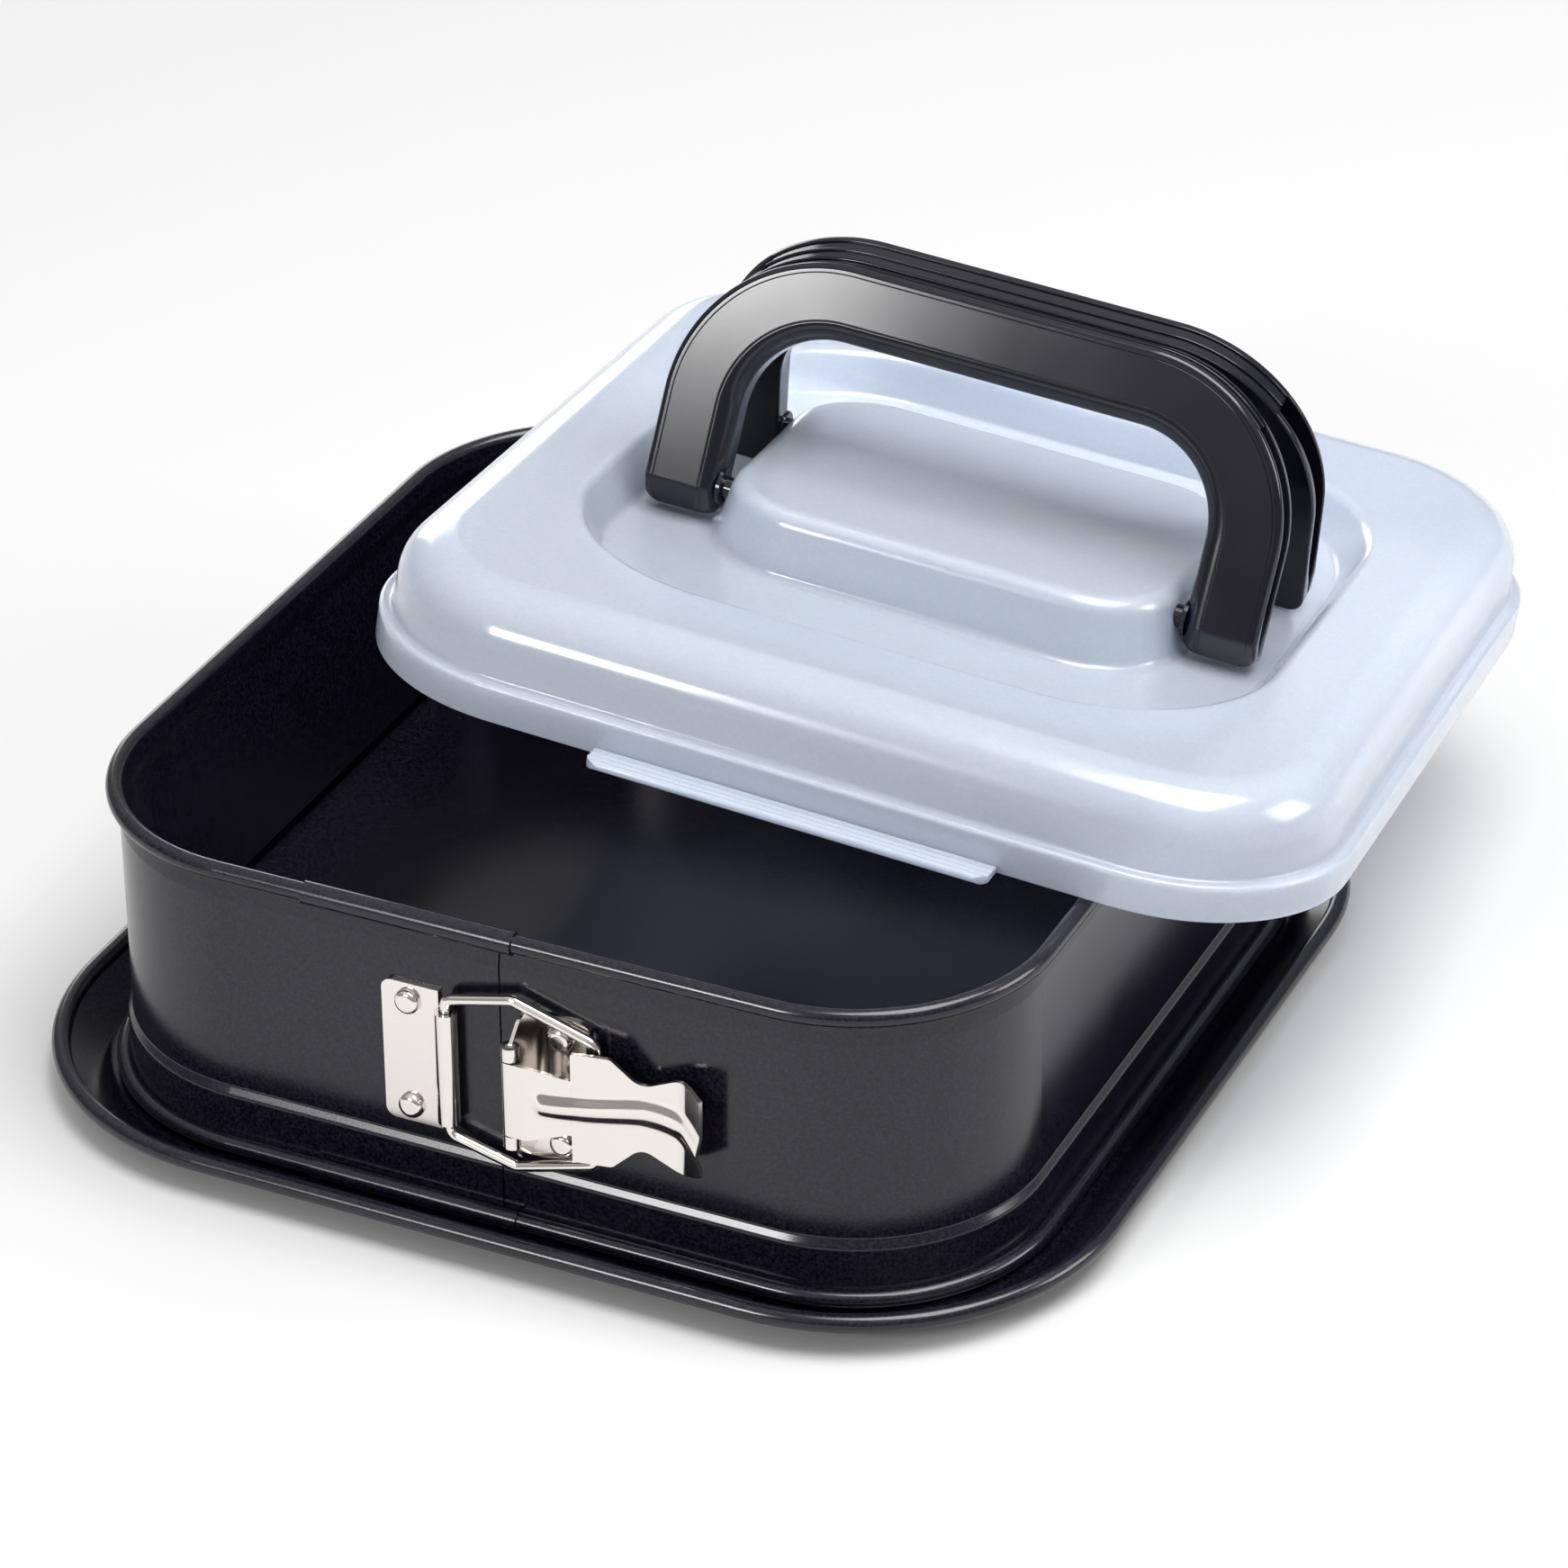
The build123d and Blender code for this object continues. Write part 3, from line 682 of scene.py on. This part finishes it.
def cover_place(pivot_height: float) -> Place:
    """Works out how the cover leans, from the hinges of its two handles.

    The front handle's axis is the cover's X, the line from the front hinge to the back one is its
    Y, and the middle between the hinges lies pivot_height above its lower edge.

    Args:
        pivot_height: the height of the hinges over the cover's lower edge.

    Returns:
        The cover's own frame.
    """
    hinges = {joint["child"]: joint for joint in frame["joints"]}
    front, rear = hinges["front_handle"], hinges["rear_handle"]
    x_axis = np.array(front["axis"])
    x_axis = x_axis / np.linalg.norm(x_axis)
    y_axis = np.array(rear["pos_m"]) - np.array(front["pos_m"])
    y_axis = y_axis / np.linalg.norm(y_axis)
    z_axis = np.cross(x_axis, y_axis)
    middle = (np.array(rear["pos_m"]) + np.array(front["pos_m"])) / 2 / MM
    return Place(middle - pivot_height * z_axis, np.stack([x_axis, y_axis, z_axis]))


@dataclass
class CoverShell:
    """The moulded cover: skirt, shoulder, moat and island, one wall thick, with a grip tab."""

    wall: float = 1.3
    skirt_half: float = 112.85
    skirt_corner: float = 41.45
    skirt_height: float = 8.6
    ledge: float = 2.85
    top: float = 27.3
    wall_lean: float = 0.98
    skirt_radii: tuple[float, float, float] = (0.8, 0.9, 12.0)
    moat_half: tuple[float, float, float] = (76.0, 72.8, 38.0)
    moat_floor: float = 17.5
    moat_spread: float = 5.66
    moat_radii: tuple[float, float] = (3.0, 2.2)
    island_half: tuple[float, float, float] = (56.0, 41.0, 23.0)
    island_top: float = 32.5
    island_lean: float = 3.19
    island_radii: tuple[float, float] = (2.0, 4.0)
    top_flat: float = 4.0
    moat_edge_flat: float = 3.5
    moat_floor_flat: float = 6.0
    island_foot_flat: float = 5.0
    island_top_flat: float = 12.0
    closing_shares: tuple[float, float] = (0.6, 0.25)
    least_radius: float = 0.3
    corner_steps: int = 22
    side_steps: int = 6
    round_steps: int = 9
    lip_steps: int = 8
    hole_radius: float = 2.68
    hinge_y: float = 20.1
    hinge_height: float = 26.5
    tab_half: float = 46.2
    tab_out: float = 7.4
    tab_thick: float = 2.0
    tab_corner: float = 3.0
    tab_ridges: int = 4
    tab_ridge_height: float = 0.35
    tab_ridge_start: float = 0.3
    tab_nose: float = 0.6
    tab_nose_steps: int = 8
    tab_round: float = 0.3
    tab_points: int = 70
    tab_stations: int = 41

    def rings(self, inset: float) -> np.ndarray:
        """Works out the cover's form, or the form one wall inside it, as rings from edge to middle.

        The skirt, the moat and the island each have a filleted profile of outward distance and
        height. A profile point widens or narrows its own rounded rectangle, which gives one ring.

        Args:
            inset: how far inside the outer form.

        Returns:
            An (m, n, 3) grid.
        """
        lip = self.wall / 2
        lean = self.ledge + self.wall_lean
        skirt = [
            (0, lip),
            (0, self.skirt_height),
            (-self.ledge, self.skirt_height),
            (-lean, self.top),
            (-self.ledge - self.skirt_radii[2] - self.top_flat, self.top),
        ]
        moat = [
            (self.moat_spread + self.moat_edge_flat, self.top),
            (self.moat_spread, self.top),
            (0, self.moat_floor),
            (-self.moat_floor_flat, self.moat_floor),
        ]
        island = [
            (self.island_foot_flat, self.moat_floor),
            (0, self.moat_floor),
            (-self.island_lean, self.island_top),
            (-self.island_top_flat, self.island_top),
        ]
        profiles = (
            ((self.skirt_half, self.skirt_half, self.skirt_corner), skirt, self.skirt_radii),
            (self.moat_half, moat, self.moat_radii),
            (self.island_half, island, self.island_radii),
        )
        sizes = []
        for base, corners, radii in profiles:
            corners = np.array(corners, float)
            along = np.diff(corners, axis=0)
            turns_left = along[:-1, 0] * along[1:, 1] - along[:-1, 1] * along[1:, 0] > 0
            radii = np.array(radii)
            radii = np.where(turns_left, np.maximum(radii - inset, self.least_radius), radii + inset)
            run, _ = fillet_run(offset_run(corners, inset), radii, self.round_steps)
            sizes.append(np.column_stack([np.array(base) + run[:, :1], run[:, 1]]))
        sizes = np.concatenate(sizes)
        closing = sizes[-1] * np.array([(share, share, share, 1.0) for share in self.closing_shares])
        sizes = np.concatenate([sizes, closing])
        half_x, half_y, corner, height = sizes.T
        flat_rings = rounded_rings(half_x, half_y, corner, self.corner_steps, self.side_steps)
        heights = np.broadcast_to(height[:, None, None], (*flat_rings.shape[:2], 1))
        return np.concatenate([flat_rings, heights], -1)

    def lip_rings(self) -> np.ndarray:
        """Works out the rounded lower edge: a half circle from the inner wall to the outer one."""
        radius = self.wall / 2
        angle = np.linspace(0, np.pi, self.lip_steps + 1)[1:-1]
        half = self.skirt_half - radius - radius * np.cos(angle)
        corner = self.skirt_corner - radius - radius * np.cos(angle)
        flat_rings = rounded_rings(half, half, corner, self.corner_steps, self.side_steps)
        height = radius - radius * np.sin(angle)
        heights = np.broadcast_to(height[:, None, None], (*flat_rings.shape[:2], 1))
        return np.concatenate([flat_rings, heights], -1)

    def tab_grid(self) -> np.ndarray:
        """Works out the grip tab: a profile across it, carried along it, with rounded outer corners.

        Its top carries shallow lengthwise ridges, each a squared sine. Its end narrows as a quarter
        circle over the outermost corner radius.
        """
        root = self.skirt_half - self.wall / 2
        out = self.skirt_half + self.tab_out
        top_y = np.linspace(root, out - self.tab_nose, self.tab_points)
        ridge = np.sin(np.pi * self.tab_ridges * (top_y - self.skirt_half) / self.tab_out) ** 2
        ridge = np.where(top_y > self.skirt_half + self.tab_ridge_start, ridge, 0.0)
        top_z = self.tab_thick - self.tab_ridge_height * (1 - ridge)
        nose = np.linspace(np.pi / 2, -np.pi / 2, self.tab_nose_steps + 1)[1:-1]
        nose_radius = top_z[-1] / 2
        y = np.concatenate([top_y, top_y[-1] + self.tab_nose * np.cos(nose), top_y[::-1]])
        z = np.concatenate([top_z, nose_radius + nose_radius * np.sin(nose), 0 * top_y])
        past = np.clip(y - (out - self.tab_corner), 0, self.tab_corner)
        half = self.tab_half - self.tab_corner + np.sqrt(self.tab_corner**2 - past**2)
        x = np.linspace(-1, 1, self.tab_stations)[:, None] * half
        return np.stack(np.broadcast_arrays(x, -y, z), -1)

    def build(self, place: Place) -> None:
        """Builds the cover and drills the holes for the handles' studs.

        Args:
            place: the cover's own frame.
        """
        outer, inner = self.rings(0.0), self.rings(self.wall)
        surface = Surface()
        surface.add_tube(place.put(np.concatenate([inner[::-1], self.lip_rings(), outer])))
        cover = surface.mesh("cover")
        self.drill(cover, place)
        tab = Surface()
        tab.add_tube(place.put(self.tab_grid()))
        grip = tab.mesh("grip_tab")
        soften_edges(grip, self.tab_round)
        finish_piece(cover, "cover", FROSTED, "lid_shell")
        finish_piece(grip, "cover", FROSTED)

    def drill(self, cover: bpy.types.Object, place: Place) -> None:
        """Cuts a hole through each end of the island for every handle's stud."""
        ends = np.array([-1.0, 1.0])[:, None] * self.island_half[0]
        drills = Surface()
        for side in (-1, 1):
            y = side * self.hinge_y + self.hole_radius * np.cos(CIRCLE)
            z = self.hinge_height + self.hole_radius * np.sin(CIRCLE)
            drills.add_tube(place.put(np.stack(np.broadcast_arrays(ends, y, z), -1)))
        cutter = drills.mesh("hole_cutter")
        cut = cover.modifiers.new("holes", "BOOLEAN")
        cut.object = cutter
        cut.operation = "DIFFERENCE"
        graph = bpy.context.evaluated_depsgraph_get()
        cover.data = bpy.data.meshes.new_from_object(cover.evaluated_get(graph))
        cover.modifiers.clear()
        bpy.data.objects.remove(cutter)
        cover.data.shade_smooth()
        cover.data.set_sharp_from_angle(angle=SHARP_ANGLE)


@dataclass
class Handle:
    """One carrying handle: a bow with slotted legs, a ribbed top, slanting feet and hinge studs."""

    name: str
    node: str
    side: int
    half: float = 73.5
    width: float = 17.7
    thick: float = 10.0
    reach: float = 56.9
    bend: float = 38.2
    bend_steps: int = 30
    bend_hold: float = 1.0
    lean: float = 15.0
    hinge_y: float = 20.1
    hinge_height: float = 26.5
    foot: float = 7.3
    foot_round: float = 3.0
    slant_height: float = 6.0
    slant_depth: float = 4.5
    slant_round: float = 0.5
    round_steps: int = 8
    corner_hold: float = 0.02
    outer_round: float = 1.5
    inner_round: float = 4.2
    back_round: float = 0.6
    back_steps: int = 4
    face_step_place: float = 12.9
    face_step: float = 0.35
    face_step_rounds: tuple[float, float] = (0.3, 0.2)
    line_place: float = 2.0
    line_width: float = 0.3
    line_depth: float = 0.15
    line_round: float = 0.05
    groove_half: float = 1.5
    groove_depth: float = 0.5
    groove_middles: tuple[float, float] = (-2.9, 0.9)
    slot_half: float = 3.0
    slot_depth: float = 9.0
    slot_foot: float = 3.0
    slot_taper: float = 12.0
    slot_least_share: float = 0.05
    lip_round: float = 0.3
    lip_steps: int = 3
    cut_change: float = 0.1
    boss_radius: float = 4.2
    stud_radius: float = 2.6
    head_radius: float = 3.3
    head_thick: float = 1.2
    boss_root: float = 0.6
    stud_chamfer: float = 0.3
    boss_end: float = 55.28
    head_start: float = 50.36

    def place_in(self, cover: Place) -> Place:
        """Works out the handle's own frame: X along the hinge, Y up the legs, Z out of its face."""
        angle = math.radians(self.lean)
        x_axis = np.array([-self.side, 0.0, 0.0])
        z_axis = np.array([0.0, self.side * math.cos(angle), math.sin(angle)])
        own = np.stack([x_axis, np.cross(z_axis, x_axis), z_axis])
        origin = np.array([0.0, self.side * self.hinge_y, self.hinge_height])
        return Place(cover.put(origin), own @ cover.axes)

    def arch(self) -> tuple[np.ndarray, np.ndarray, np.ndarray]:
        """Works out the arch's outer line from one foot to the other.

        Returns:
            Its (m, 2) points, their normals outwards, and how far along it each is from the nearer foot.
        """
        corners = [
            (-self.half, -self.foot),
            (-self.half, self.reach),
            (self.half, self.reach),
            (self.half, -self.foot),
        ]
        radii = np.full(2, self.bend)
        line, out = fillet_run(np.array(corners), radii, self.bend_steps, hold=self.bend_hold)
        length = np.concatenate([[0.0], np.cumsum(np.linalg.norm(np.diff(line, axis=0), axis=1))])
        changes = np.array([self.slot_foot, self.slot_top()])
        extra = np.concatenate([
            self.foot_round * (1 - np.cos(np.linspace(0, np.pi / 2, self.round_steps + 1))),
            self.slant_height + self.slant_round * np.array([-1, 0, 1]),
            changes - self.cut_change,
            changes + self.cut_change,
            self.slot_foot + np.linspace(0, self.slot_taper, self.round_steps + 1)[1:],
        ])
        stations = np.unique(np.concatenate([length, extra, length[-1] - extra]))
        line = np.stack([np.interp(stations, length, line[:, axis]) for axis in (0, 1)], -1)
        out = np.stack([np.interp(stations, length, out[:, axis]) for axis in (0, 1)], -1)
        return line, out, np.minimum(stations, length[-1] - stations)

    def slot_top(self) -> float:
        """Works out how far along the arch a slot ends: at the middle of the bend."""
        return self.foot + self.reach - self.bend + self.bend * math.pi / 4

    def cut(self, middle: np.ndarray, half: np.ndarray, depth: np.ndarray) -> np.ndarray:
        """Works out one cut in the outer side at every station.

        Each edge is a quarter round with a wall below it. A cut without depth or width closes to one
        point of the plain side.

        Args:
            middle: where its middle is across the thickness, at each station.
            half: half its width.
            depth: its depth.

        Returns:
            The (m, 10, 2) points, in from the arch's outside and out of its face.
        """
        turn = np.linspace(0, np.pi / 2, self.lip_steps + 1)
        lip = np.minimum(self.lip_round, depth)[:, None]
        across = half[:, None] + lip * (1 - np.sin(turn))
        down = lip * (1 - np.cos(turn))
        across = np.concatenate([across, across[:, -1:]], 1)
        down = np.concatenate([down, depth[:, None]], 1)
        low = np.stack([down, middle[:, None] - across], -1)
        high = np.stack([down, middle[:, None] + across], -1)
        return np.concatenate([low, high[:, ::-1]], 1)

    def cuts(self, along: np.ndarray) -> np.ndarray:
        """Works out the slots of the legs and the two grooves of the top at every station.

        The grooves are closed on the legs, and the slot is closed on the top. The slot narrows
        towards the foot as a sine of the way to its end.

        Args:
            along: how far each station is from the nearer foot.

        Returns:
            The (m, 30, 2) points, in from the arch's outside and out of its face.
        """
        low, high = self.groove_middles
        edge = self.thick / 2
        on_top = (along > self.slot_top()).astype(float)
        slotted = (along > self.slot_foot) * (1 - on_top)
        open_share = np.clip((along - self.slot_foot) / self.slot_taper, self.slot_least_share, 1)
        groove = (on_top * self.groove_half, on_top * self.groove_depth)
        slot = (slotted * self.slot_half * np.sin(open_share * np.pi / 2), slotted * self.slot_depth)
        return np.concatenate([
            self.cut(np.where(on_top > 0, low, self.back_round - edge), *groove),
            self.cut(np.where(on_top > 0, (low + high) / 2, 0.0), *slot),
            self.cut(np.where(on_top > 0, high, edge - self.outer_round), *groove),
        ], 1)

    def face(self) -> np.ndarray:
        """Works out the section's part round the front face, from the outer side to the inner one.

        A fine line runs near its outer edge, and it ends in a small step and a large round.

        Returns:
            The (n, 2) points, in from the arch's outside and out of its face.
        """
        front = self.thick / 2
        low = front - self.face_step
        line_end = self.line_place + self.line_width
        corners = np.array([
            (0.0, 0.0),
            (0.0, front),
            (self.line_place, front),
            ((self.line_place + line_end) / 2, front - self.line_depth),
            (line_end, front),
            (self.face_step_place, front),
            (self.face_step_place + self.face_step, low),
            (self.width, low),
            (self.width, -front),
            (self.width / 2, -front),
        ])
        radii = [self.outer_round, *[self.line_round] * 3, *self.face_step_rounds]
        radii = np.array([*radii, self.inner_round, self.back_round])
        run, _ = fillet_run(corners, radii, self.round_steps, hold=self.corner_hold)
        return run[1:]

    def back(self) -> np.ndarray:
        """Works out the round between the flat back and the outer side, as (n, 2) points."""
        front = self.thick / 2
        corners = np.array([(self.width / 2, -front), (0.0, -front), (0.0, 0.0)])
        run, _ = fillet_run(corners, np.array([self.back_round]), self.back_steps, hold=self.corner_hold)
        return run[1:-1]

    def build(self, cover: Place, body: str) -> None:
        """Builds the handle.

        Near a foot the section narrows as a quarter circle, and its face slants back evenly.

        Args:
            cover: the cover's own frame.
            body: the body that the handle rides on.
        """
        own = self.place_in(cover)
        line, out, along = self.arch()
        shared = [np.broadcast_to(part, (len(along), *part.shape)) for part in (self.back(), self.face())]
        section = np.concatenate([shared[0], self.cuts(along), shared[1]], 1)

        short = self.foot_round - np.minimum(along, self.foot_round)
        narrowing = self.foot_round - np.sqrt(np.maximum(self.foot_round**2 - short**2, 0))
        slant = self.slant_depth * (1 - np.minimum(along / self.slant_height, 1))
        middle = self.width / 2
        front = self.thick / 2
        inward = middle + (section[..., 0] - middle) * (1 - narrowing / middle)[:, None]
        depth = (section[..., 1] + front) * (1 - slant / self.thick)[:, None] - front
        plan = line[:, None] - out[:, None] * inward[..., None]

        surface = Surface()
        surface.add_tube(own.put(np.concatenate([plan, depth[..., None]], -1)))
        for end in (-1, 1):
            self.add_stud(surface, own, end)
        finish_piece(surface.mesh(self.name), body, BLACK_PLASTIC, self.node)

    def add_stud(self, surface: Surface, own: Place, end: int) -> None:
        """Adds a stud: a boss, a shank through the island's wall and a head inside it."""
        head_end = self.head_start - self.head_thick
        profile = np.array([
            (self.half - self.width + self.boss_root, self.boss_radius),
            (self.boss_end + self.stud_chamfer, self.boss_radius),
            (self.boss_end, self.boss_radius - self.stud_chamfer),
            (self.boss_end, self.stud_radius),
            (self.head_start, self.stud_radius),
            (self.head_start, self.head_radius),
            (head_end + self.stud_chamfer, self.head_radius),
            (head_end, self.head_radius - self.stud_chamfer),
        ])
        x, radius = end * profile[:, :1], profile[:, 1:]
        y, z = radius * np.cos(CIRCLE), radius * np.sin(CIRCLE)
        surface.add_tube(own.put(np.stack(np.broadcast_arrays(x, y, z), -1)))


@dataclass
class Cover:
    """The cover with its two handles."""

    shell: CoverShell = field(default_factory=CoverShell)
    handles: tuple[Handle, ...] = (
        Handle("handle_front", "front_handle", -1),
        Handle("handle_rear", "rear_handle", 1),
    )

    def build(self) -> None:
        """Builds the cover, then each handle on its own body."""
        place = cover_place(self.shell.hinge_height)
        self.shell.build(place)
        for handle in self.handles:
            handle.build(place, handle.node)


@dataclass(frozen=True)
class SoftLight:
    """A square soft light: its middle and edge in metres, and its power in watts."""

    name: str
    place: tuple[float, float, float]
    size: float
    power: float


@dataclass
class Studio:
    """A pale floor, soft lights and the camera at the photograph's angle."""

    azimuth: float = 25.02
    elevation: float = 30.93
    roll: float = -0.28
    camera_place: tuple[float, float, float] = (0.50753, -1.04901, 0.74971)
    focal_length: float = 138.05
    sensor_width: float = 36.0
    view_distance: float = 50.0
    floor_half: float = 6.0
    floor_grey: float = 0.55
    floor_roughness: float = 0.9
    world_fade: tuple[float, float] = (0.35, 0.9)
    world_strength: tuple[float, float] = (0.3, 0.8)
    lights: tuple[SoftLight, ...] = (
        SoftLight("overhead", (0.5, 0.0, 1.7), 1.15, 36.0),
        SoftLight("right", (1.7, 0.6, 0.8), 0.8, 14.0),
        SoftLight("low_front", (-0.58, -1.86, 0.9), 0.5, 19.0),
        SoftLight("back_left", (-1.3, 1.6, 0.45), 0.9, 7.0),
    )

    def build(self) -> None:
        """Builds the floor, the lights, the world and the camera."""
        self.add_floor()
        for light in self.lights:
            self.add_light(light)
        self.add_world()
        self.add_camera()

    def add_floor(self) -> None:
        """Lays the floor that the pan stands on."""
        mesh = bpy.data.meshes.new("floor")
        half = self.floor_half
        corners = [(-half, -half, 0.0), (half, -half, 0.0), (half, half, 0.0), (-half, half, 0.0)]
        mesh.from_pydata(corners, [], [(0, 1, 2, 3)])
        floor = bpy.data.objects.new("floor", mesh)
        bpy.context.scene.collection.objects.link(floor)
        material = bpy.data.materials.new("floor")
        material.use_nodes = True
        shader = material.node_tree.nodes["Principled BSDF"]
        shader.inputs["Base Color"].default_value = (*[self.floor_grey] * 3, 1.0)
        shader.inputs["Roughness"].default_value = self.floor_roughness
        mesh.materials.append(material)

    def add_light(self, light: SoftLight) -> None:
        """Hangs a light that faces the pan."""
        data = bpy.data.lights.new(light.name, "AREA")
        data.size = light.size
        data.energy = light.power
        place = Vector(light.place)
        lamp = bpy.data.objects.new(light.name, data)
        lamp.location = place
        lamp.rotation_mode = "QUATERNION"
        lamp.rotation_quaternion = (-place).to_track_quat("-Z", "Y")
        bpy.context.scene.collection.objects.link(lamp)

    def add_world(self) -> None:
        """Makes the surroundings a soft white that fades from overhead down to the horizon."""
        world = bpy.data.worlds.new("surroundings")
        world.use_nodes = True
        backdrop = world.node_tree.nodes["Background"]
        backdrop.inputs["Color"].default_value = (1.0, 1.0, 1.0, 1.0)
        nodes = NodeTree(world.node_tree)
        direction = nodes.add("ShaderNodeTexCoord").outputs["Generated"]
        split = nodes.add("ShaderNodeSeparateXYZ", {"Vector": direction})
        low, high = self.world_fade
        weak, strong = self.world_strength
        strength = nodes.add(
            "ShaderNodeMapRange",
            {
                "Value": split.outputs["Z"],
                "From Min": low,
                "From Max": high,
                "To Min": weak,
                "To Max": strong,
            },
            interpolation_type="SMOOTHSTEP",
        )
        world.node_tree.links.new(strength.outputs[0], backdrop.inputs["Strength"])
        bpy.context.scene.world = world

    def add_camera(self) -> None:
        """Sets the camera where the photograph was taken from."""
        azimuth, elevation, roll = (math.radians(a) for a in (self.azimuth, self.elevation, self.roll))
        back = Vector((
            math.sin(azimuth) * math.cos(elevation),
            -math.cos(azimuth) * math.cos(elevation),
            math.sin(elevation),
        ))
        right = Vector((math.cos(azimuth), math.sin(azimuth), 0.0))
        up = back.cross(right)
        turned_right = right * math.cos(roll) + up * math.sin(roll)
        turned_up = up * math.cos(roll) - right * math.sin(roll)
        data = bpy.data.cameras.new("camera")
        data.lens = self.focal_length
        data.sensor_width = self.sensor_width
        data.clip_end = self.view_distance
        camera = bpy.data.objects.new("camera", data)
        axes = Matrix((turned_right, turned_up, back)).transposed()
        camera.matrix_world = Matrix.Translation(self.camera_place) @ axes.to_4x4()
        bpy.context.scene.collection.objects.link(camera)
        bpy.context.scene.camera = camera


def main() -> None:
    """Builds every sub-assembly in order, then the studio."""
    logging.basicConfig(level=logging.INFO, format="%(name)s: %(message)s")
    for assembly in (Pan(), Clasp(), Cover(), Studio()):
        assembly.build()
        log.info("built %s", type(assembly).__name__)
    bpy.context.scene.view_settings.view_transform = "Standard"


if __name__ == "__main__":
    main()
